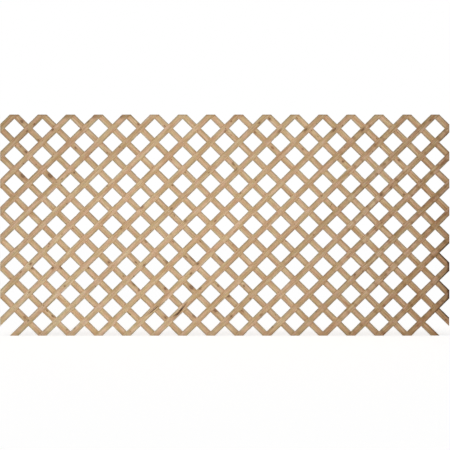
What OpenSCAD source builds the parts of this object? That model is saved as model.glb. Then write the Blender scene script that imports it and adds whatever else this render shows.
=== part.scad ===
// Diamond lattice trellis panel. Two layers of thin wooden laths cross each
// other and are stapled together at every crossing. The panel stands upright in
// the XZ plane with its front towards -Y. The origin is at the middle of its
// lower edge, on the plane where the two layers meet.
//
// Front laths rise to the right and back laths rise to the left. Each layer is
// numbered from the short lath at its own upper corner, so the back layer is the
// front layer mirrored left to right. The centre lines cross on the panel's
// edges, where the laths are sawn off flush.

/* [Panel] */
// Width of the panel, along X
panel_w = 2438; // [1800:1:3000]
// Height of the panel, along Z
panel_h = 1200; // [900:1:1500]
// Diamonds side by side across the width
cells_wide = 16; // [12:1:18]
// Diamonds one above another up the height
cells_high = 8; // [6:1:10]

/* [Laths] */
// Width of a lath across its face
lath_w = 34; // [26:0.5:44]
// Thickness of a lath
lath_t = 6.5; // [5:0.1:10]
// Worn chamfer along the long edges of a lath
lath_ease = 0.6; // [0.2:0.1:1.5]

/* [Staples] */
// Length of a staple's crown over both legs
crown_l = 11; // [8:0.5:14]
// Width of the flat wire, across the crown
wire_w = 1.6; // [1:0.1:2]
// Thickness of the flat wire
wire_t = 1.2; // [0.8:0.1:1.6]
// Height of the crown above the front laths
crown_proud = 0.4; // [0.2:0.1:0.7]
// Cut-off corner where the wire bends from the crown to a leg
bend_cut = 0.5; // [0.2:0.1:0.7]
// Length of the point on a leg
point_l = 2; // [1:0.1:3]
// Wood left between the points and the back of the panel
point_cover = 1; // [0.5:0.1:2]
// Gap between the wire and the hole that it made in the wood
wire_play = 0.05; // [0.02:0.01:0.1]

/* [Hidden] */
// Whole diamonds only, since part of one can't be laid
columns = round(cells_wide);
rows = round(cells_high);

// Distance between crossings in a row and in a column
cell_w = panel_w / columns;
cell_h = panel_h / rows;

// Slope of the laths, which run through the corners of the cells
lath_angle = atan2(cell_h, cell_w);

// A full layer has one lath more: the short one at the lower corner is left off
lath_count = columns + rows - 1;

// A lath before it is sawn off, reaching past the upper and lower edges
blank_l = (panel_h + 2 * lath_w) / sin(lath_angle);

// From the middle of a crossing to its corners, along X and along Z
lap_half_w = lath_w / (2 * sin(lath_angle));
lap_half_h = lath_w / (2 * cos(lath_angle));

// A lap on the panel's edge is a triangle, and its middle is this share of the
// way from the edge to its inner corner
lap_middle = 1 / 3;

// Each group of staples, with the edge that it lies on: left or right as -1 or
// 1, then lower or upper as -1 or 1
STAPLE_GROUPS = [
    ["crossing_staples", 0, 0],
    ["top_edge_staples", 0, 1],
    ["bottom_edge_staples", 0, -1],
    ["left_edge_staples", -1, 0],
    ["right_edge_staples", 1, 0]
];

function lath_name(layer, number) = str(layer, "_lath_", number < 10 ? "0" : "", number);

// Place of the crossing of front lath i and back lath j, in cells from the
// middle of the panel and in cells up from its lower edge
function across(i, j) = (i - j) / 2;
function up(i, j) = columns / 2 + rows - (i + j - 1) / 2;

function on_panel(i, j) =
    abs(across(i, j)) <= columns / 2 && up(i, j) >= 0 && up(i, j) <= rows;

// The edge of the panel that a crossing lies on, or 0 where it is clear of it
function side_edge(i, j) = abs(across(i, j)) < columns / 2 ? 0 : sign(across(i, j));
function level_edge(i, j) = up(i, j) <= 0 ? -1 : up(i, j) >= rows ? 1 : 0;

// Cross-section of a lath, with its thickness along the first axis
module lath_section() {
    half_t = lath_t / 2;
    half_w = lath_w / 2;
    flat_t = half_t - lath_ease;
    flat_w = half_w - lath_ease;
    polygon([
        [half_t, -flat_w], [half_t, flat_w], [flat_t, half_w], [-flat_t, half_w],
        [-half_t, flat_w], [-half_t, -flat_w], [-flat_t, -half_w], [flat_t, -half_w]
    ]);
}

// Lath of one layer at its full length, rising to the right
module lath_blank(number) {
    translate([(number - lath_count / 2 - 1) * cell_w, 0, panel_h / 2])
        rotate([0, -lath_angle, 0])
            rotate([90, 0, 90])
                linear_extrude(blank_l, center = true)
                    lath_section();
}

// Room that the panel takes up, deep enough to trim nothing but the laths' ends
module trim_box() {
    translate([-panel_w / 2, -2 * lath_t, 0])
        cube([panel_w, 4 * lath_t, panel_h]);
}

// One staple, driven from the front: its crown lies along X, and its outline is
// swollen by play where it stands for the hole
module staple(play = 0) {
    outer = crown_l / 2 + play;
    inner = crown_l / 2 - wire_t - play;
    top = -lath_t - crown_proud - play;
    under = top + wire_t + 2 * play;
    tip = lath_t - point_cover + play;
    shoulder = tip - point_l;
    leg_middle = (inner + outer) / 2;
    linear_extrude(wire_w + 2 * play, center = true)
        polygon([
            [-outer, top + bend_cut], [-outer + bend_cut, top],
            [outer - bend_cut, top], [outer, top + bend_cut],
            [outer, shoulder], [leg_middle, tip], [inner, shoulder],
            [inner, under], [-inner, under],
            [-inner, shoulder], [-leg_middle, tip], [-outer, shoulder]
        ]);
}

// The staple through the crossing of front lath i and back lath j. On an edge of
// the panel it moves in to the middle of the lap, with its crown along the edge
module crossing_staple(i, j, play = 0) {
    side = side_edge(i, j);
    level = level_edge(i, j);
    translate([
        across(i, j) * cell_w - side * lap_half_w * lap_middle,
        0,
        up(i, j) * cell_h - level * lap_half_h * lap_middle
    ])
        rotate([0, side * 90, 0])
            staple(play);
}

// Front lath, rising to the right, with the holes of its staples
module front_lath(i) {
    color("burlywood")
        difference() {
            intersection() {
                translate([0, -lath_t / 2, 0])
                    lath_blank(i);
                trim_box();
            }
            for (j = [1:lath_count])
                if (on_panel(i, j))
                    crossing_staple(i, j, wire_play);
        }
}

// Back lath, rising to the left, with the blind holes of the staples' points
module back_lath(j) {
    color("tan")
        difference() {
            intersection() {
                translate([0, lath_t / 2, 0])
                    mirror([1, 0, 0])
                        lath_blank(j);
                trim_box();
            }
            for (i = [1:lath_count])
                if (on_panel(i, j))
                    crossing_staple(i, j, wire_play);
        }
}

// All staples clear of the edges, or along one edge
module staples(side, level) {
    color("silver")
        for (i = [1:lath_count])
            for (j = [1:lath_count])
                if (on_panel(i, j) && side_edge(i, j) == side && level_edge(i, j) == level)
                    crossing_staple(i, j);
}

for (i = [1:lath_count])
    front_lath(i);
for (j = [1:lath_count])
    back_lath(j);
for (group = STAPLE_GROUPS)
    staples(group[1], group[2]);
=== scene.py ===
"""Looks of a diamond lattice trellis panel. Each lath is a sawn and worn strip of its
own, with its own grain and knots, and each staple is a bent wire."""

import math
import random
from types import SimpleNamespace

import bpy
import numpy as np
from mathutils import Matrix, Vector


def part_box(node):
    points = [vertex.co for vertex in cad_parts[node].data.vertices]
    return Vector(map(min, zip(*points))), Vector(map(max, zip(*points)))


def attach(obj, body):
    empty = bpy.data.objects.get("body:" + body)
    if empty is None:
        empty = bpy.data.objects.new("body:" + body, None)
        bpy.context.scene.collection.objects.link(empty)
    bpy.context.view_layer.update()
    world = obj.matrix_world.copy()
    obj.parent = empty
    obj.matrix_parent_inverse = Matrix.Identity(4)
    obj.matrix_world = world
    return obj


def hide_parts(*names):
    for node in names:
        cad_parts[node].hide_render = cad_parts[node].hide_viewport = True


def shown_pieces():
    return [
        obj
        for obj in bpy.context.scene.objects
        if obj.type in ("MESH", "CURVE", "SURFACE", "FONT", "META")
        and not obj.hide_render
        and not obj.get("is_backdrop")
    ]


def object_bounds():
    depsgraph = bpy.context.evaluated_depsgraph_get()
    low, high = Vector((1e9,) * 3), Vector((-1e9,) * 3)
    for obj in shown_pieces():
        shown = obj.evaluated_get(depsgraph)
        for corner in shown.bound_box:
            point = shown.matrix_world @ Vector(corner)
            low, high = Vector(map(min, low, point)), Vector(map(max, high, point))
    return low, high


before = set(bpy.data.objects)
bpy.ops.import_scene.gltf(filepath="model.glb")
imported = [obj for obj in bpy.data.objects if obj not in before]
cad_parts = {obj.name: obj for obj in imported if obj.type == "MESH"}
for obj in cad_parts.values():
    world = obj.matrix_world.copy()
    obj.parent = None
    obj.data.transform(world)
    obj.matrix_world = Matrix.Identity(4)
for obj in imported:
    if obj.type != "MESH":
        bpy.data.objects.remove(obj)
cad_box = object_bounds()

MM = 0.001
SEED = 7

# The lattice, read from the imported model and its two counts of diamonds
COLUMNS = 16
ROWS = 8
LATH_COUNT = COLUMNS + ROWS - 1
PANEL_W = cad_box[1].x - cad_box[0].x
PANEL_H = cad_box[1].z - cad_box[0].z
CELL_W = PANEL_W / COLUMNS
CELL_H = PANEL_H / ROWS
ANGLE = math.atan2(CELL_H, CELL_W)
RISE = math.sin(ANGLE)
RUN = math.cos(ANGLE)
CROSSING_STEP = CELL_H / (2 * RISE)

# A lath's size, from the short one at the upper left corner
short_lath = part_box("front_lath_01")
LATH_T = -short_lath[0].y
LATH_W = 2 * RISE * (short_lath[1].x - short_lath[0].x - CELL_W / 2)
HALF_W = LATH_W / 2
LAP_HALF_W = HALF_W / RISE
LAP_HALF_H = HALF_W / RUN

# A layer's side: 1 rises to the right in front, -1 is turned half round behind it
LAYERS = {"front": 1, "back": -1}

# How far an edge turns, in degrees, to be a sharp one
SHARP_LATH = 50
SHARP_WIRE = 40

# How a lath is sawn and worn
RING_STEP = 9 * MM
FACE_COLUMNS = 8
EASE = 0.9 * MM
END_EASE = 0.5 * MM
EDGE_WEAR = 0.7 * MM
FACE_WEAR = 0.25 * MM
EDGE_WAVES = (0.043, 0.11, 0.31, 0.73)
FACE_WAVES = (0.09, 0.23, 0.61)
CHIPS_PER_M = 1.6
CHIP_DEPTHS = (0.5 * MM, 1.6 * MM)
CHIP_LENGTHS = (7 * MM, 16 * MM)

# Dark knots that the photo shows: layer, lath, cells up the panel, share of the half
# width across it towards the upper outer corner, half length and half width in mm
KNOTS = [
    ("back", 16, 7.75, 0.1, 11, 9),
    ("back", 12, 7.65, 0.4, 6, 5),
    ("back", 17, 6.65, 0.4, 10, 6),
    ("back", 15, 6.8, -0.1, 7, 5),
    ("back", 18, 5.8, 0.65, 17, 13),
    ("back", 17, 5.8, 0.5, 17, 13),
    ("back", 16, 5.9, 0.2, 6, 5),
    ("back", 7, 7.85, -0.3, 8, 6),
    ("back", 10, 6.2, 0.1, 9, 4),
    ("back", 6, 6.3, 0.1, 6, 5),
    ("back", 4, 6.35, 0.4, 7, 5),
    ("back", 5, 5.1, -0.1, 6, 5),
    ("front", 2, 7.4, -0.4, 7, 6),
    ("front", 3, 7.45, 0.5, 8, 6),
    ("front", 4, 7.45, 0.5, 7, 6),
    ("front", 10, 7.7, -0.2, 7, 5),
    ("front", 12, 7.45, 0.4, 13, 5),
    ("front", 13, 7.45, 0.3, 16, 6),
    ("front", 14, 7.45, 0.2, 13, 7),
    ("front", 16, 7.8, -0.1, 7, 6),
    ("front", 17, 5.1, 0.2, 11, 9),
    ("front", 7, 2.6, 0.1, 8, 6),
    ("front", 8, 2.45, 0.5, 9, 7),
    ("front", 8, 2.5, -0.9, 6, 5),
    ("front", 11, 2.55, -0.5, 9, 5),
    ("front", 13, 2.6, 0.4, 9, 7),
    ("front", 13, 2.25, -0.3, 7, 5),
    ("front", 19, 2.2, 0.4, 6, 5),
    # The next three, on back laths 19 to 21, are painted shade in the corners beside crossings
    ("back", 21, 2.45, 0.5, 9, 8),
    ("back", 20, 2.45, 0.8, 8, 7),
    ("back", 19, 2.45, 0.6, 6, 5),
    ("back", 18, 2.65, 0.1, 8, 6),
    ("back", 17, 2.65, -0.1, 9, 4),
    ("back", 15, 2.85, -0.2, 8, 3),
    ("front", 9, 1.8, 0.0, 5, 4),
    ("back", 17, 1.7, 0.5, 9, 8),
    ("back", 16, 1.75, 0.4, 15, 12),
    ("back", 15, 1.45, 0.4, 14, 10),
    ("back", 14, 1.8, -0.1, 6, 5),
    ("back", 16, 0.9, 0.4, 11, 7),
    ("back", 18, 0.65, 0.2, 10, 5),
    ("back", 22, 0.7, 0.4, 8, 4),
    ("front", 16, 0.7, -0.2, 8, 6),
    ("front", 9, 0.55, 0.3, 5, 4),
]

# Soft brown stains that the photo shows, in rows of the same kind
STAINS = [
    ("front", 11, 7.4, -0.3, 13, 6),
    ("front", 9, 7.75, 0.1, 5, 4),
    ("front", 9, 7.4, -0.75, 9, 6),
    ("back", 8, 6.8, 0.0, 9, 5),
    ("back", 7, 6.75, 0.2, 7, 4),
    ("front", 18, 6.25, -0.2, 18, 6),
    ("front", 16, 6.2, 0.1, 8, 6),
    ("front", 11, 6.0, 0.7, 11, 7),
    ("front", 10, 5.9, -0.2, 5, 3),
    ("back", 13, 5.45, 0.5, 6, 4),
    ("front", 9, 4.65, 0.7, 11, 8),
    ("front", 10, 4.6, 0.0, 7, 4),
    ("front", 12, 4.15, -0.1, 7, 4),
    ("front", 11, 4.15, 0.3, 9, 5),
    ("back", 16, 3.4, 0.5, 8, 4),
    ("back", 15, 3.4, 0.4, 7, 4),
    ("back", 14, 3.4, 0.2, 5, 3),
    # The next three, on back laths 14 to 16 just below crossings, are painted shadow of the front laths
    ("back", 14, 2.75, 0.7, 22, 5),
    ("back", 15, 2.75, 0.7, 18, 5),
    ("back", 16, 2.65, 0.6, 14, 8),
    ("front", 7, 2.3, 0.4, 7, 4),
    ("front", 20, 2.2, -0.2, 9, 6),
    ("back", 18, 1.85, 0.6, 12, 4),
    ("back", 15, 1.8, 0.4, 7, 5),
    ("back", 18, 1.65, 0.6, 7, 6),
    ("front", 14, 1.7, 0.5, 7, 5),
    ("back", 15, 0.9, 0.2, 10, 4),
    ("front", 17, 0.75, -0.3, 10, 6),
    ("back", 17, 0.7, 0.6, 10, 6),
    ("back", 23, 0.65, 0.1, 9, 6),
]

# Small ones besides: how many there are in a metre of lath, and their half widths in mm
PIN_KNOTS_PER_M = 0.9
PIN_KNOT_SIZES = (1.4, 2.6)
STAINS_PER_M = 2.0
STAIN_SIZES = (2.0, 4.2)

# Stains at the sawn ends, as how far in they go and how strong they are: on most, on
# the upper ends of a few front laths, and along the foot of the panel. They are full
# over a share of that way, and the panel's sides count as further away than they are
END_STAIN = (9 * MM, 0.75)
DARK_TOP = (30 * MM, 0.9)
DARK_TOPS = (3, 4, 5)
FOOT_STAIN = (34 * MM, 0.32)
STAIN_CORE = 0.35
SIDES_FURTHER = 1.6

# Where the wood changes over the panel, in metres from its middle and up its height: where
# the grain shows more, where the painted shade sets in, and where the bleaching does
GRAIN_SHOWS = (0.50, 0.80)
FIRST_SHADE_FALLOFF = (0.30, 0.60)
SHADE_FALLOFF = (0.75, 1.45)
CORNER_SHADE_FALLOFF = (1.0, 1.5)
BLEACHING = (0.6, 1.8)

# Painted shade at the right end, in the same metres: on the outer rims of the laths, from a share
# of their half width, on their sawn caps, where it is also dark end grain, and as a film. All three fade
# up the panel
RIGHT_END = (1.10, 1.20)
RIM_SHARES = (0.36, 0.74)
RIM_FADES = (0.42, 0.62)
CAP_PLACES = (1.202, 1.213)
CAP_STARTS = (0.10, 0.20)
CAP_FADES = (0.42, 0.54)
FILM_PLACES = (1.10, 1.215)
FILM_FADES = (0.4, 1.1)

# Splits along the grain: layer, lath, cells up to the crossing that they are at, then
# along and across from there, half length, half width and depth in mm, and lean
SPLITS = [
    ("front", 14, 1.0, -19, -1.4, 34, 4.4, 4.0, 0.10),
    ("front", 14, 1.0, -50, 0.5, 20, 1.9, 1.6, -0.14),
    ("front", 14, 1.0, 22, 3.0, 14, 0.9, 0.6, 0.06),
    ("front", 13, 1.0, -12, -3.6, 32, 2.0, 2.1, -0.08),
    ("front", 13, 1.0, -4, 3.0, 40, 1.0, 0.8, -0.07),
]
SPLIT_REACH = 75 * MM
SPLIT_RING_STEP = 3 * MM
SPLIT_COLUMNS = 44


def lath_name(layer, number):
    return f"{layer}_lath_{number:02d}"


def lath_middle(number):
    """X of a front lath's centre line at half the panel's height."""
    return (number - LATH_COUNT / 2 - 1) * CELL_W


def lath_limits(number, t):
    """Where a lath's two ends are sawn off, along its length, at t across it."""
    x = lath_middle(number)
    low = np.maximum((-PANEL_W / 2 - x + t * RISE) / RUN, (-PANEL_H / 2 - t * RUN) / RISE)
    high = np.minimum((PANEL_W / 2 - x + t * RISE) / RUN, (PANEL_H / 2 - t * RUN) / RISE)
    return low, high


def along(up, t=0.0):
    """Place along a lath, at t across it, of a point so many cells up the panel."""
    return (up * CELL_H - PANEL_H / 2 - t * RUN) / RISE


def smooth(value, low, high):
    """0 below low, 1 above high and smooth between."""
    share = np.clip((value - low) / (high - low), 0, 1)
    return share * share * (3 - 2 * share)


class Graph:
    """A material's node tree, with short calls for the nodes that it uses."""

    def __init__(self, name):
        self.material = bpy.data.materials.new(name)
        self.material.use_nodes = True
        self.tree = self.material.node_tree
        self.tree.nodes.clear()

    def node(self, kind, inputs=None, **settings):
        made = self.tree.nodes.new(kind)
        for key, value in settings.items():
            setattr(made, key, value)
        for key, value in (inputs or {}).items():
            self.feed(made.inputs[key], value)
        return made

    def feed(self, socket, value):
        if isinstance(value, bpy.types.NodeSocket):
            self.tree.links.new(value, socket)
        else:
            socket.default_value = value

    def attribute(self, name, output):
        return self.node("ShaderNodeAttribute", attribute_name=name).outputs[output]

    def math(self, operation, a, b=0.0, c=0.0):
        inputs = {0: a, 1: b, 2: c}
        return self.node("ShaderNodeMath", inputs, operation=operation).outputs[0]

    def vector(self, operation, a, b):
        made = self.node("ShaderNodeVectorMath", {0: a, 1: b}, operation=operation)
        return made.outputs["Vector"]

    def dot(self, a, b):
        made = self.node("ShaderNodeVectorMath", {0: a, 1: b}, operation="DOT_PRODUCT")
        return made.outputs["Value"]

    def length(self, a):
        made = self.node("ShaderNodeVectorMath", {0: a}, operation="LENGTH")
        return made.outputs["Value"]

    def noise(self, place, stretch, detail=3.0, roughness=0.5):
        scaled = self.vector("MULTIPLY", place, stretch)
        inputs = {"Vector": scaled, "Scale": 1.0, "Detail": detail, "Roughness": roughness}
        return self.node("ShaderNodeTexNoise", inputs).outputs["Fac"]

    def step(self, value, low, high, to_low=0.0, to_high=1.0):
        """to_low below low, to_high above high and smooth between."""
        inputs = {"Value": value, "From Min": low, "From Max": high}
        inputs.update({"To Min": to_low, "To Max": to_high})
        made = self.node("ShaderNodeMapRange", inputs, interpolation_type="SMOOTHSTEP")
        return made.outputs["Result"]

    def swing(self, value, size):
        """A noise from 0 to 1 turned into one of this size about 0."""
        return self.math("MULTIPLY", self.math("SUBTRACT", value, 0.5), size)

    def mix(self, share, a, b, blend_type="MIX"):
        made = self.node("ShaderNodeMix", data_type="RGBA", blend_type=blend_type)
        self.feed(made.inputs[0], share)
        self.feed(made.inputs[6], a)
        self.feed(made.inputs[7], b)
        return made.outputs[2]

    def multiply(self, share, a, b):
        return self.mix(share, a, b, "MULTIPLY")

    def ramp(self, value, stops):
        made = self.node("ShaderNodeValToRGB", {"Fac": value})
        elements = made.color_ramp.elements
        while len(elements) < len(stops):
            elements.new(1.0)
        for element, (position, colour) in zip(elements, stops):
            element.position = position
            element.color = (*colour, 1.0)
        return made.outputs["Color"]

    def finish(self, shader):
        self.node("ShaderNodeOutputMaterial", {"Surface": shader})
        return self.material


def rgba(colour):
    return (*colour, 1.0)


# Noises in the wood, as waves in a metre along, across and into a lath
BROAD_WAVES = (8, 75, 75)
STREAK_WAVES = (7, 230, 160)
FIBRE_WAVES = (22, 1500, 900)
PATCH_WAVES = (18, 50, 50)
HUE_WAVES = (22, 65, 65)
DRIFT_WAVES = (2.2, 24, 24)
END_GRAIN_WAVES = (300, 700, 700)

# How far a knot pushes the grain aside, how far apart the growth lines are and how far
# they wander, and the turns of the saw's marks in a metre, in radians
KNOT_BEND = 5 * MM
LINE_STEP = 3.4 * MM
LINE_WANDER = 5 * MM
SAW_TURNS = 2600

# Colours of the wood by the value of its figure. The five after these multiply them
FIGURE = [
    (0.36, (0.45, 0.272, 0.140)),
    (0.45, (0.53, 0.349, 0.203)),
    (0.53, (0.59, 0.407, 0.250)),
    (0.62, (0.67, 0.487, 0.330)),
]
LATE_WOOD = (0.755, 0.71, 0.665)
OLIVE = (0.972, 1.022, 0.905)
PINK = (1.028, 0.972, 0.977)
DEEP = (0.925, 0.90, 0.855)
PALE = (1.07, 1.085, 1.12)

# Colours of its faults and of painted shade. The first eight multiply the wood's own colour
# Darker along the free edges of the laths
EDGE_DARK = (0.74, 0.835, 0.92)
LAPPED = (0.975, 0.975, 0.975)
END_DIRT = (0.60, 0.54, 0.48)
# Painted contact shade in the corners beside the laps, and a darker band beside them
LAP_DARK = (0.72, 0.66, 0.60)
BLEACHED = (1.04, 1.10, 1.16)
# Painted shade towards the lower right and the upper left corner
PAINTED_SHADE = (0.80, 0.69, 0.60)
# Painted shade at the right end, also dark end grain on the sawn caps
RIGHT_END_SHADE = (0.20, 0.155, 0.11)
STAIN = (0.56, 0.47, 0.40)
KNOT_HALO = (0.350, 0.188, 0.090)
KNOT_HEART = (0.130, 0.070, 0.037)
KNOT_RINGS = (0.260, 0.148, 0.080)
KNOT_RIM = (0.070, 0.038, 0.021)
SPLIT_STAIN = (0.290, 0.155, 0.070)
SPLIT_DARK = (0.060, 0.030, 0.013)
END_GRAIN = (0.36, 0.240, 0.140)
END_GRAIN_PALE = (0.50, 0.360, 0.220)

# The staples' zinc and rust: waves in a metre, and colours
SPANGLE_WAVES = (900, 900, 900)
RUST_WAVES = (260, 260, 260)
ZINC_DARK = (0.27, 0.25, 0.22)
ZINC_PALE = (0.42, 0.39, 0.35)
RUST = (0.20, 0.11, 0.06)


def tinted(colour, tone, warmth):
    """A colour made lighter or darker, and redder or more olive."""
    red, green, blue = colour
    return (red * tone * (1 + warmth), green * tone, blue * tone * (1 - warmth))


def nearest_mark(g, grain, marks):
    """Distance from the nearest of some knots or stains, in which 1 is its rim."""
    near = 100.0
    for s, t, half_l, half_w in marks:
        offset = g.vector("SUBTRACT", grain, (s, t, 0))
        reach = g.length(g.vector("MULTIPLY", offset, (1 / half_l, 1 / half_w, 0)))
        near = g.math("MINIMUM", near, reach)
    return near


def split_distance(g, grain, split):
    """Distance from the middle of a split, in which 1 is its outline."""
    s, t, half_l, half_w, _, lean = split
    offset = g.vector("SUBTRACT", grain, (s, t, 0))
    length = g.dot(offset, (1 / half_l, 0, 0))
    width = g.dot(offset, (-lean / half_w, 1 / half_w, 0))
    return g.length(g.node("ShaderNodeCombineXYZ", {0: length, 1: width}).outputs[0])


def lath_tone(layer, number, rng):
    """How light a lath is: those in front darken to both ends and those behind pale."""
    if layer == "front":
        tone = 0.98 + 0.08 * smooth(number, 1, 7) - 0.04 * smooth(number, 11, 17)
    else:
        tone = 1.19 - 0.14 * smooth(number, 3, 15) + 0.08 * smooth(number, 18, 22)
    return tone * rng.uniform(0.98, 1.02)


def wood_noises(g, grain, near, rng):
    """A place in the wood, where the grain bends round knots and starts elsewhere on each
    lath, and the noises at that place."""
    aside = g.step(near, 0.3, 2.6, KNOT_BEND, 0.0)
    bend = g.node("ShaderNodeCombineXYZ", {1: aside}).outputs[0]
    place = g.vector("ADD", grain, (rng.uniform(0, 40), rng.uniform(0, 4), 0))
    place = g.vector("ADD", place, bend)
    return SimpleNamespace(
        place=place,
        broad=g.noise(place, BROAD_WAVES),
        streak=g.noise(place, STREAK_WAVES, 4.0, 0.55),
        fibre=g.noise(place, FIBRE_WAVES, 2.0),
        patch=g.noise(place, PATCH_WAVES, 3.0, 0.6),
        hue=g.noise(place, HUE_WAVES, 1.0),
    )


def growth_lines(g, noise):
    """Dark lines of late wood along the grain, which wander into long arches."""
    drift = g.noise(noise.place, DRIFT_WAVES, 2.0)
    across = g.node("ShaderNodeSeparateXYZ", {0: noise.place}).outputs["Y"]
    across = g.math("ADD", across, g.swing(drift, 2 * LINE_WANDER))
    across = g.math("ADD", across, g.swing(noise.streak, LINE_STEP))
    wave = g.math("SINE", g.math("MULTIPLY", across, 2 * math.pi / LINE_STEP))
    return g.step(wave, 0.1, 0.95)


def wood_figure(g, noise, marked):
    """The grain as one value about 0.5, which swings more where the wood is marked."""
    figure = g.math("MULTIPLY", g.swing(noise.broad, 0.40), marked)
    figure = g.math("MULTIPLY_ADD", g.swing(noise.streak, 0.40), marked, figure)
    figure = g.math("MULTIPLY_ADD", g.swing(noise.fibre, 0.20), marked, figure)
    return g.math("ADD", figure, 0.5)


def clear_wood(g, noise, figure, late_wood, tone, warmth):
    """Colour of wood that has no faults, with slow changes of hue and tone."""
    colour = g.ramp(figure, [(at, tinted(c, tone, warmth)) for at, c in FIGURE])
    hue = g.math("ADD", noise.hue, g.swing(noise.streak, 0.15))
    tint = g.mix(g.step(hue, 0.35, 0.65), rgba(OLIVE), rgba(PINK))
    colour = g.multiply(1.0, colour, tint)
    shade = g.mix(g.step(noise.patch, 0.32, 0.68), rgba(DEEP), rgba(PALE))
    colour = g.multiply(1.0, colour, shade)
    return g.multiply(late_wood, colour, rgba(LATE_WOOD))


def add_dirt_and_shade(g, colour, noise, axes, from_crossing):
    """Darker free edges, stains at the sawn ends, bleaching, and painted shade towards two corners and at
    the right end.
    """
    # Darker along the free edges of the laths
    edge = g.math("DIVIDE", g.math("ABSOLUTE", axes["Y"]), HALF_W)
    edge = g.math("ADD", edge, g.swing(noise.streak, 0.3))
    free = g.step(from_crossing, 0.85 * HALF_W, 1.4 * HALF_W)
    darker_edge = g.math("MULTIPLY", g.step(edge, 0.42, 0.74), free)
    colour = g.multiply(darker_edge, colour, rgba(EDGE_DARK))
    colour = g.multiply(g.math("SUBTRACT", 1.0, free), colour, rgba(LAPPED))

    reach, strength = END_STAIN
    ends = g.step(g.attribute("border", "Fac"), STAIN_CORE * reach, reach, strength, 0.0)
    ends = g.math("MULTIPLY", ends, g.step(noise.patch, 0.35, 0.65, 1.0, 0.75))
    ends = g.math("MAXIMUM", ends, g.attribute("stained", "Fac"))
    colour = g.multiply(ends, colour, rgba(END_DIRT))
    colour = g.multiply(g.attribute("bleached", "Fac"), colour, rgba(BLEACHED))
    # Painted shade towards the lower right and the upper left corner
    colour = g.multiply(g.attribute("painted_shade", "Fac"), colour, rgba(PAINTED_SHADE))
    # Painted shade at the right end
    return g.multiply(g.attribute("right_end_shade", "Fac"), colour, rgba(RIGHT_END_SHADE))


def add_lap_darkening(g, colour, noise, axes, from_crossing, marked):
    """Painted contact shade on the inner face, in the corners beside the lath that lies on it, and
    a darker band on the outer face beside the laps, most where the grain shows most."""
    # Painted contact shade in the corners beside the lath that lies on top
    corner = g.step(from_crossing, HALF_W, 1.7 * HALF_W, 1.0, 0.0)
    corner = g.math("MULTIPLY", corner, g.step(axes["Z"], 0.0, 0.5 * MM, 1.0, 0.0))
    corner = g.math("MULTIPLY", corner, g.step(noise.patch, 0.52, 0.70))
    colour = g.multiply(corner, colour, rgba(LAP_DARK))

    # A darker band on the outer face beside the laps
    beside = g.math("ABSOLUTE", g.math("SUBTRACT", from_crossing, 1.6 * HALF_W))
    beside = g.step(beside, 0.1 * HALF_W, 0.8 * HALF_W, 1.0, 0.0)
    beside = g.math("MULTIPLY", beside, g.step(axes["Z"], 0.0, 0.5 * MM))
    beside = g.math("MULTIPLY", beside, g.step(noise.patch, 0.38, 0.66))
    beside = g.math("MULTIPLY", beside, g.math("MULTIPLY_ADD", marked, 1.4, -1.15))
    return g.multiply(beside, colour, rgba(LAP_DARK))


def add_stains(g, colour, noise, grain, stains):
    soft = g.math("ADD", nearest_mark(g, grain, stains), g.swing(noise.streak, 0.9))
    return g.multiply(g.step(soft, 0.5, 1.9, 0.9, 0.0), colour, rgba(STAIN))


def add_knots(g, colour, noise, near):
    """Knots with a soft halo, a heart of year rings and a dark rim."""
    ragged = g.math("ADD", near, g.swing(noise.streak, 0.7))
    colour = g.mix(g.step(ragged, 0.7, 2.3, 0.6, 0.0), colour, rgba(KNOT_HALO))
    years = g.math("SINE", g.math("MULTIPLY_ADD", ragged, 30.0, g.swing(noise.fibre, 5.0)))
    heart = g.mix(g.step(years, -0.7, 0.7), rgba(KNOT_HEART), rgba(KNOT_RINGS))
    colour = g.mix(g.step(ragged, 0.60, 0.80, 0.70, 0.0), colour, heart)
    from_rim = g.math("ABSOLUTE", g.math("SUBTRACT", ragged, 0.72))
    return g.mix(g.step(from_rim, 0.03, 0.15, 0.5, 0.0), colour, rgba(KNOT_RIM))


def add_splits(g, colour, noise, grain, splits):
    """Splits that are dark inside and stain the wood round them, deep ones the most."""
    for split in splits:
        reach = g.math("ADD", split_distance(g, grain, split), g.swing(noise.streak, 0.9))
        reach = g.math("ADD", reach, g.swing(noise.fibre, 0.5))
        depth = split[4]
        stain = min(0.8, 0.3 + 0.2 * depth / MM)
        colour = g.mix(g.step(reach, 0.9, 2.4, stain, 0.0), colour, rgba(SPLIT_STAIN))
        slit = min(0.95, 0.35 + 0.25 * depth / MM)
        colour = g.mix(g.step(reach, 0.75, 1.15, slit, 0.0), colour, rgba(SPLIT_DARK))
    return colour


def sawn_surface(g, noise, axes, lines):
    """Normals of the fibres and growth lines, with the marks of the saw across them."""
    saw = g.math("MULTIPLY_ADD", noise.streak, 6.0, g.math("MULTIPLY", axes["X"], SAW_TURNS))
    height = g.math("ADD", noise.fibre, noise.streak)
    height = g.math("MULTIPLY_ADD", g.math("SINE", saw), 0.12, height)
    height = g.math("MULTIPLY_ADD", lines, 0.25, height)
    bump = g.node("ShaderNodeBump", {"Strength": 0.5, "Distance": 0.4 * MM, "Height": height})
    return bump.outputs["Normal"]


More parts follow.
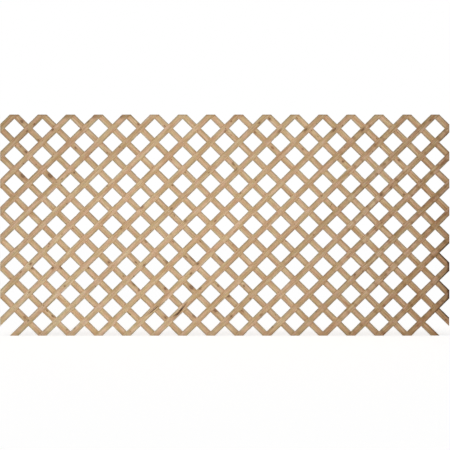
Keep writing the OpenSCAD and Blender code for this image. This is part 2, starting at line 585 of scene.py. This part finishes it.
def wood(name, rng, tone, knots, stains, splits):
    """Sawn softwood. It reads places along, across and into a lath from its mesh, and
    how much its grain shows."""
    g = Graph(name)
    grain = g.attribute("grain", "Vector")
    axes = g.node("ShaderNodeSeparateXYZ", {0: grain}).outputs
    near = nearest_mark(g, grain, knots)
    noise = wood_noises(g, grain, near, rng)
    lines = growth_lines(g, noise)
    marked = g.attribute("marked", "Fac")
    figure = wood_figure(g, noise, marked)
    late_wood = g.math("MULTIPLY", lines, g.swing(marked, 0.55))
    warmth = rng.uniform(-0.01, 0.01)
    colour = clear_wood(g, noise, figure, late_wood, tone, warmth)
    from_crossing = g.math("PINGPONG", axes["X"], CROSSING_STEP / 2)
    colour = add_dirt_and_shade(g, colour, noise, axes, from_crossing)
    colour = add_lap_darkening(g, colour, noise, axes, from_crossing, marked)
    colour = add_stains(g, colour, noise, grain, stains)
    colour = add_knots(g, colour, noise, near)
    colour = add_splits(g, colour, noise, grain, splits)
    rings = g.noise(noise.place, END_GRAIN_WAVES)
    end_grain = g.mix(rings, rgba(END_GRAIN), rgba(END_GRAIN_PALE))
    colour = g.mix(g.attribute("cut", "Fac"), colour, end_grain)
    shader = g.node(
        "ShaderNodeBsdfPrincipled",
        {
            "Base Color": colour,
            "Roughness": g.step(figure, 0.3, 0.7, 0.9, 0.72),
            "Specular IOR Level": 0.25,
            "Normal": sawn_surface(g, noise, axes, lines),
        },
    )
    return g.finish(shader.outputs["BSDF"])


def galvanised(name):
    """Dull zinc on steel wire, with a fine spangle and some rust."""
    g = Graph(name)
    place = g.node("ShaderNodeTexCoord").outputs["Object"]
    spangle = g.noise(place, SPANGLE_WAVES, 2.0)
    rust = g.noise(place, RUST_WAVES, 4.0, 0.6)
    colour = g.ramp(spangle, [(0.3, ZINC_DARK), (0.7, ZINC_PALE)])
    colour = g.mix(g.step(rust, 0.42, 0.62), colour, rgba(RUST))
    shader = g.node(
        "ShaderNodeBsdfPrincipled",
        {
            "Base Color": colour,
            "Metallic": 0.85,
            "Roughness": g.step(spangle, 0.3, 0.7, 0.42, 0.62),
        },
    )
    return g.finish(shader.outputs["BSDF"])


def tube_faces(rings, points):
    """Faces of a closed tube whose points go anticlockwise round each ring."""
    faces = []
    for ring in range(rings - 1):
        for point in range(points):
            a = ring * points + point
            b = ring * points + (point + 1) % points
            faces.append((a, b, b + points, a + points))
    faces.append(tuple(reversed(range(points))))
    faces.append(tuple(range((rings - 1) * points, rings * points)))
    return faces


def make_mesh(name, places, faces, sharp_degrees):
    mesh = bpy.data.meshes.new(name)
    mesh.from_pydata(places.reshape(-1, 3).tolist(), [], faces)
    mesh.polygons.foreach_set("use_smooth", [True] * len(faces))
    mesh.set_sharp_from_angle(angle=math.radians(sharp_degrees))
    return mesh


def add_piece(name, mesh, node, material):
    """Puts a mesh in the scene in place of a CAD node."""
    piece = bpy.data.objects.new(name, mesh)
    bpy.context.scene.collection.objects.link(piece)
    mesh.materials.append(material)
    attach(piece, "root")
    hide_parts(node)


def lath_section(columns):
    """Places across a lath and into it, round its section, with eased corners. The
    first is 0 on the centre line, and the second 0 where the two layers meet."""
    flat = HALF_W - EASE
    face = [(t, 0.0) for t in np.linspace(-flat, flat, columns)]

    def corner(t, n, *degrees):
        turns = [math.radians(d) for d in degrees]
        return [(t + EASE * math.cos(a), n + EASE * math.sin(a)) for a in turns]

    points = face
    points = points + corner(flat, EASE, -60, -30, 0)
    points = points + corner(flat, LATH_T - EASE, 0, 30, 60)
    points = points + [(t, LATH_T) for t, _ in reversed(face)]
    points = points + corner(-flat, LATH_T - EASE, 120, 150, 180)
    points = points + corner(-flat, EASE, 180, 210, 240)
    return np.array(points).T


def ripple(rng, waves):
    """A smooth random line from 0 to 1 along a lath, made of waves of these lengths."""
    phases = [rng.uniform(0, 2 * math.pi) for _ in waves]

    def line(s):
        total = sum(np.sin(2 * math.pi * s / w + p) for w, p in zip(waves, phases))
        return 0.5 + 0.5 * total / len(waves)

    return line


def worn_edge(rng, low, high):
    """How far one long edge is worn in along the lath, with a few chips."""
    line = ripple(rng, EDGE_WAVES)
    chips = []
    for _ in range(round(CHIPS_PER_M * (high - low) * rng.uniform(0.5, 1.5))):
        chips.append((rng.uniform(low, high), rng.uniform(*CHIP_LENGTHS), rng.uniform(*CHIP_DEPTHS)))

    def wear(s):
        total = EDGE_WEAR * line(s)
        for place, length, depth in chips:
            total = total + depth * np.exp(-(((s - place) / length) ** 2))
        return total

    return wear


def ring_shares(low, high, splits):
    """Where a lath's rings are, as shares of its length: close together by a split."""
    places = list(np.linspace(low, high, max(4, round((high - low) / RING_STEP))))
    places += [low + END_EASE, high - END_EASE]
    if splits:
        middle = splits[0][0]
        places += list(np.arange(middle - SPLIT_REACH, middle + SPLIT_REACH, SPLIT_RING_STEP))
    places = np.unique(np.round(places, 4))
    return ((places - places[0]) / (places[-1] - places[0]))[:, None]


def groove(s, t, splits):
    """Depth of the splits at places along and across a lath."""
    depth = np.zeros_like(s)
    for middle, across, half_l, half_w, deep, lean in splits:
        length = (s - middle) / half_l
        width = (t - across - lean * (s - middle)) / half_w
        open_share = np.clip(1 - length**2 - width**2, 0, 1)
        depth = np.maximum(depth, deep * np.sqrt(open_share))
    return depth


def end_stain(away, reach, strength):
    """Strength of a stain at places that are so far away from the end that it starts at."""
    return strength * (1 - smooth(away, STAIN_CORE * reach, reach))


def lath_shares(layer, number, x, z, t):
    """The way to the panel's top and sides, stains along its foot and at a few tops, how
    much the grain shows, painted shade towards two corners, bleached front laths towards a third,
    and painted shade at the right end, which on the sawn caps is also dark end grain."""
    border = np.minimum(SIDES_FURTHER * (PANEL_W / 2 - np.abs(x)), PANEL_H - z)
    stained = end_stain(z, *FOOT_STAIN)
    if layer == "front" and number in DARK_TOPS:
        stained = stained + end_stain(PANEL_H - z, *DARK_TOP)
    marked = 1.1 + 0.7 * smooth(x, *GRAIN_SHOWS)

    above_middle = z - PANEL_H / 2
    lower_right = x - 0.25 * above_middle
    upper_left = -x + 0.5 * above_middle
    # Painted shade, darker towards the lower right and the upper left corner
    painted_shade = 0.10 * smooth(lower_right, *FIRST_SHADE_FALLOFF) + 0.80 * smooth(lower_right, *SHADE_FALLOFF)
    painted_shade = painted_shade + 0.28 * smooth(upper_left, *CORNER_SHADE_FALLOFF)
    lower_left = -x - 2 * above_middle
    bleached = smooth(lower_left, *BLEACHING) if layer == "front" else np.zeros_like(x)

    # Painted shade at the right end: on the outer rims, on the sawn caps, where it is also dark end grain,
    # and as a film
    outwards = -LAYERS[layer] * t / HALF_W
    rims = smooth(outwards, *RIM_SHARES) * (1 - 0.75 * smooth(z, *RIM_FADES))
    caps = smooth(x, *CAP_PLACES) * smooth(z, *CAP_STARTS) * (1 - 0.8 * smooth(z, *CAP_FADES))
    film = 0.15 * smooth(x, *FILM_PLACES) * (1 - 0.7 * smooth(z, *FILM_FADES))
    right_end_shade = np.maximum(np.maximum(rims, caps) * smooth(x, *RIGHT_END), film)
    return {
        "border": border,
        "stained": stained,
        "marked": marked,
        "painted_shade": painted_shade,
        "bleached": bleached,
        "right_end_shade": right_end_shade,
    }


def lath_mesh(name, layer, number, rng, splits):
    """One lath, sawn off along the panel's outline, with worn edges and faces."""
    side = LAYERS[layer]
    t_flat, n_flat = lath_section(SPLIT_COLUMNS if splits else FACE_COLUMNS)
    low, high = lath_limits(number, 0.0)
    upper = worn_edge(rng, low, high)
    lower = worn_edge(rng, low, high)
    face_line = ripple(rng, FACE_WAVES)
    share = ring_shares(low, high, splits)

    low, high = lath_limits(number, t_flat)
    s = low + share * (high - low)
    t = t_flat * (1 - np.where(t_flat > 0, upper(s), lower(s)) / HALF_W)
    low, high = lath_limits(number, t)
    s = low + share * (high - low)
    n = n_flat * (1 - FACE_WEAR / LATH_T * face_line(s))
    n = np.where(n_flat == LATH_T, n - groove(s, t, splits), n)
    for end in (0, -1):
        t[end] *= 1 - END_EASE / HALF_W
        n[end] += (LATH_T / 2 - n[end]) * 2 * END_EASE / LATH_T
    low, high = lath_limits(number, t)
    s = low + share * (high - low)

    x = side * (lath_middle(number) + s * RUN - t * RISE)
    z = PANEL_H / 2 + s * RISE + t * RUN
    faces = tube_faces(*s.shape)
    mesh = make_mesh(name, np.stack((x, -side * n, z), axis=-1), faces, SHARP_LATH)

    # What the wood's material reads: the grain's own axes, shares of the faults and of the
    # painted shade, and which faces are sawn ends
    grain = mesh.attributes.new("grain", "FLOAT_VECTOR", "POINT")
    grain.data.foreach_set("vector", np.stack((s, t, n), axis=-1).astype(np.float32).ravel())
    for attribute, values in lath_shares(layer, number, x, z, t).items():
        made = mesh.attributes.new(attribute, "FLOAT", "POINT")
        made.data.foreach_set("value", values.astype(np.float32).ravel())
    cut = mesh.attributes.new("cut", "FLOAT", "FACE")
    cut.data.foreach_set("value", [0.0] * (len(faces) - 2) + [1.0, 1.0])
    return mesh


def lath_marks(rows, layer, number, rng, per_m, sizes):
    """Knots or stains of one lath: those of the rows, and a few small ones."""
    found = []
    for row_layer, row_number, up, across, half_l, half_w in rows:
        if (row_layer, row_number) == (layer, number):
            t = across * HALF_W
            found.append((along(up, t), t, half_l * MM, half_w * MM))
    low, high = lath_limits(number, 0.0)
    for _ in range(round(per_m * (high - low) * rng.uniform(0.4, 1.6))):
        size = rng.uniform(*sizes) * MM
        place = (rng.uniform(low, high), rng.uniform(-0.9, 0.9) * HALF_W)
        found.append((*place, size * rng.uniform(1.0, 2.0), size))
    return found


def lath_splits(layer, number):
    """The splits of one lath, in metres along and across it."""
    found = []
    for split_layer, split_number, up, s, t, half_l, half_w, depth, lean in SPLITS:
        if (split_layer, split_number) == (layer, number):
            sizes = [v * MM for v in (t, half_l, half_w, depth)]
            found.append((along(up) + s * MM, *sizes, lean))
    return found


def add_laths():
    for layer in LAYERS:
        for number in range(1, LATH_COUNT + 1):
            node = lath_name(layer, number)
            rng = random.Random(f"{SEED} {node}")
            splits = lath_splits(layer, number)
            mesh = lath_mesh(node + "_wood", layer, number, rng, splits)
            tone = lath_tone(layer, number, rng)
            knots = lath_marks(KNOTS, layer, number, rng, PIN_KNOTS_PER_M, PIN_KNOT_SIZES)
            stains = lath_marks(STAINS, layer, number, rng, STAINS_PER_M, STAIN_SIZES)
            material = wood(node + "_wood", rng, tone, knots, stains, splits)
            add_piece(node + "_wood", mesh, node, material)


# The staples: their wire and their crowns, from the row along the upper edge
top_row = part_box("top_edge_staples")
CROWN_L = top_row[1].x - top_row[0].x - (COLUMNS - 1) * CELL_W
WIRE_W = top_row[1].z - top_row[0].z
WIRE_T = 1.2 * MM
WIRE_EASE = 0.3 * MM
BEND_R = 1.0 * MM
POINT_L = 2 * MM
POINT_T = 0.2
STAPLE_FRONT = top_row[0].y
STAPLE_TIP = top_row[1].y
STAPLE_TILT = 5
STAPLE_SINK = 0.25 * MM
LAP_MIDDLE = 1 / 3

# Each group of staples, with the edge of the panel that it lies on
STAPLE_GROUPS = {
    "crossing_staples": (0, 0),
    "top_edge_staples": (0, 1),
    "bottom_edge_staples": (0, -1),
    "left_edge_staples": (-1, 0),
    "right_edge_staples": (1, 0),
}


def staple_places():
    """Yields each crossing's edge, left or right and lower or upper, and its middle."""
    for i in range(1, LATH_COUNT + 1):
        for j in range(1, LATH_COUNT + 1):
            across = (i - j) / 2
            up = COLUMNS / 2 + ROWS - (i + j - 1) / 2
            if abs(across) <= COLUMNS / 2 and 0 <= up <= ROWS:
                side = 0 if abs(across) < COLUMNS / 2 else math.copysign(1, across)
                level = -1 if up <= 0 else 1 if up >= ROWS else 0
                x = across * CELL_W - side * LAP_HALF_W * LAP_MIDDLE
                z = up * CELL_H - level * LAP_HALF_H * LAP_MIDDLE
                yield (side, level), x, z


def staple_rings():
    """Rings of one bent wire from point to point, with its crown along X at x 0 and z 0."""
    wide = WIRE_W / 2
    thick = WIRE_T / 2
    section = [
        (-wide + WIRE_EASE, -thick), (wide - WIRE_EASE, -thick),
        (wide, -thick + WIRE_EASE), (wide, thick - WIRE_EASE),
        (wide - WIRE_EASE, thick), (-wide + WIRE_EASE, thick),
        (-wide, thick - WIRE_EASE), (-wide, -thick + WIRE_EASE),
    ]
    leg = CROWN_L / 2 - thick
    bend_x = leg - BEND_R
    bend_y = STAPLE_FRONT + thick + BEND_R
    turns = [math.radians(d) for d in (0, 30, 60, 90)]
    bend = [(-bend_x - BEND_R * math.cos(a), bend_y - BEND_R * math.sin(a), a, 1.0) for a in turns]
    half = [(-leg, STAPLE_TIP, 0.0, POINT_T), (-leg, STAPLE_TIP - POINT_L, 0.0, 1.0)] + bend
    path = half + [(-x, y, math.pi - a, share) for x, y, a, share in reversed(half)]
    rings = []
    for x, y, a, share in path:
        rings.append([(x - w * share * math.cos(a), y - w * share * math.sin(a), v) for v, w in section])
    return np.array(rings)


def add_staples():
    steel = galvanised("staple_steel")
    rings = staple_rings()
    ring_count, point_count, _ = rings.shape
    one_faces = tube_faces(ring_count, point_count)
    flat = rings.reshape(-1, 3)
    for node, edge in STAPLE_GROUPS.items():
        rng = random.Random(f"{SEED} {node}")
        places, faces = [], []
        for x, z in [(x, z) for at, x, z in staple_places() if at == edge]:
            turn = math.radians(90 * abs(edge[0]) + rng.uniform(-STAPLE_TILT, STAPLE_TILT))
            sink = rng.uniform(0, STAPLE_SINK)
            cos, sin = math.cos(turn), math.sin(turn)
            turned = (flat[:, 0] * cos - flat[:, 2] * sin, flat[:, 1], flat[:, 0] * sin + flat[:, 2] * cos)
            faces += [tuple(len(places) * len(flat) + p for p in face) for face in one_faces]
            places.append(np.stack(turned, axis=-1) + (x, sink, z))
        mesh = make_mesh(node + "_wire", np.array(places), faces, SHARP_WIRE)
        add_piece(node + "_wire", mesh, node, steel)


# The floor and the light
FLOOR_HALF = 30.0
FLOOR_DROP = 1 * MM
FLOOR_COLOUR = (0.80, 0.80, 0.80)
FLOOR_GLOW = 0.66
OVERHEAD = 0.20
OVERHEAD_PLACE = (-0.3, -1.0, 4.0)
OVERHEAD_ANGLE = 20
AMBIENT = 0.22

# Soft lights on the panel: place, what they point at, width, height and power
SOFTBOXES = {
    "key": ((-0.6, -2.2, 0.3), (-0.4, 0, 0.45), 1.2, 1.6, 33),
    "front_fill": ((0.6, -5.0, 1.2), (0.2, 0, 0.5), 3.0, 2.0, 87),
    "back_fill": ((0.6, 3.5, 2.4), (0, 0, 0.5), 3.0, 2.0, 112),
}


def seen_directly(tree):
    """1 for what the camera sees, straight or in metal or glass, and 0 for light."""
    path = tree.nodes.new("ShaderNodeLightPath").outputs
    total = path["Is Camera Ray"]
    for kind in ("Is Glossy Ray", "Is Transmission Ray"):
        add = tree.nodes.new("ShaderNodeMath")
        add.operation = "ADD"
        add.use_clamp = True
        tree.links.new(total, add.inputs[0])
        tree.links.new(path[kind], add.inputs[1])
        total = add.outputs[0]
    return total


def add_floor():
    """A plain white floor that keeps the panel's shadow."""
    g = Graph("floor_white")
    glow = g.math("MULTIPLY", seen_directly(g.tree), FLOOR_GLOW)
    matt = g.node("ShaderNodeBsdfDiffuse", {"Color": rgba(FLOOR_COLOUR)}).outputs[0]
    light = g.node("ShaderNodeEmission", {"Strength": glow}).outputs[0]
    both = g.node("ShaderNodeAddShader", {0: matt, 1: light}).outputs[0]
    reach = FLOOR_HALF
    corners = [(-reach, -reach, 0), (reach, -reach, 0), (reach, reach, 0), (-reach, reach, 0)]
    mesh = bpy.data.meshes.new("floor")
    mesh.from_pydata(corners, [], [(0, 1, 2, 3)])
    mesh.materials.append(g.finish(both))
    floor = bpy.data.objects.new("floor", mesh)
    floor.location.z = -FLOOR_DROP
    bpy.context.scene.collection.objects.link(floor)
    floor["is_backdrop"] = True
    return floor


def add_world():
    """White where it is seen, and an even, weaker light on everything."""
    world = bpy.data.worlds.new("studio")
    world.use_nodes = True
    tree = world.node_tree
    tree.nodes.clear()
    mix = tree.nodes.new("ShaderNodeMixShader")
    tree.links.new(seen_directly(tree), mix.inputs[0])
    for socket, strength in ((1, AMBIENT), (2, 1.0)):
        background = tree.nodes.new("ShaderNodeBackground")
        background.inputs["Color"].default_value = (1, 1, 1, 1)
        background.inputs["Strength"].default_value = strength
        tree.links.new(background.outputs[0], mix.inputs[socket])
    output = tree.nodes.new("ShaderNodeOutputWorld")
    tree.links.new(mix.outputs[0], output.inputs["Surface"])
    bpy.context.scene.world = world


def add_light(name, data, place, target, lit):
    """Points a light from place to target, and lets it fall on the pieces lit alone."""
    group = bpy.data.collections.new(name)
    for piece in lit:
        group.objects.link(piece)
    light = bpy.data.objects.new(name, data)
    light.location = place
    light.rotation_euler = (Vector(target) - Vector(place)).to_track_quat("-Z", "Y").to_euler()
    light.visible_camera = False
    light.light_linking.receiver_collection = group
    bpy.context.scene.collection.objects.link(light)


def add_softbox(name, place, target, width, height, power):
    """A rectangular soft light on the panel."""
    data = bpy.data.lights.new(name, "AREA")
    data.shape = "RECTANGLE"
    data.size = width
    data.size_y = height
    data.energy = power
    add_light(name, data, place, target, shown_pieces())


def add_overhead(floor):
    """Soft light from above on the floor, which keeps the panel's shadow on it."""
    data = bpy.data.lights.new("overhead", "SUN")
    data.energy = OVERHEAD * math.pi
    data.angle = math.radians(OVERHEAD_ANGLE)
    add_light("overhead", data, OVERHEAD_PLACE, (0, 0, 0), [floor])


# The camera, from where the photo shows the panel's ends and its middle
PHOTO_PX = 450
PANEL_LEFT_PX = 0.1
PANEL_RIGHT_PX = 449.4
PANEL_MIDDLE_PX = 225.1
LENS = 85.0
SENSOR = 36.0


def add_camera():
    """Square on to the panel, so far away that its two ends fall as in the photo."""
    scale = PANEL_W / (PANEL_RIGHT_PX - PANEL_LEFT_PX)
    distance = PHOTO_PX * scale * LENS / SENSOR
    middle = (PANEL_LEFT_PX + PANEL_RIGHT_PX) / 2
    data = bpy.data.cameras.new("camera")
    data.lens = LENS
    data.sensor_width = SENSOR
    data.clip_end = 200.0
    camera = bpy.data.objects.new("camera", data)
    x = (PHOTO_PX / 2 - middle) * scale
    z = PANEL_H / 2 + (PANEL_MIDDLE_PX - PHOTO_PX / 2) * scale
    camera.location = (x, -LATH_T - distance, z)
    camera.rotation_euler = (math.pi / 2, 0, 0)
    bpy.context.scene.collection.objects.link(camera)
    bpy.context.scene.camera = camera


bpy.context.scene.view_settings.view_transform = "Standard"
add_camera()
add_laths()
add_staples()
add_world()
add_overhead(add_floor())
for softbox, settings in SOFTBOXES.items():
    add_softbox(softbox, *settings)
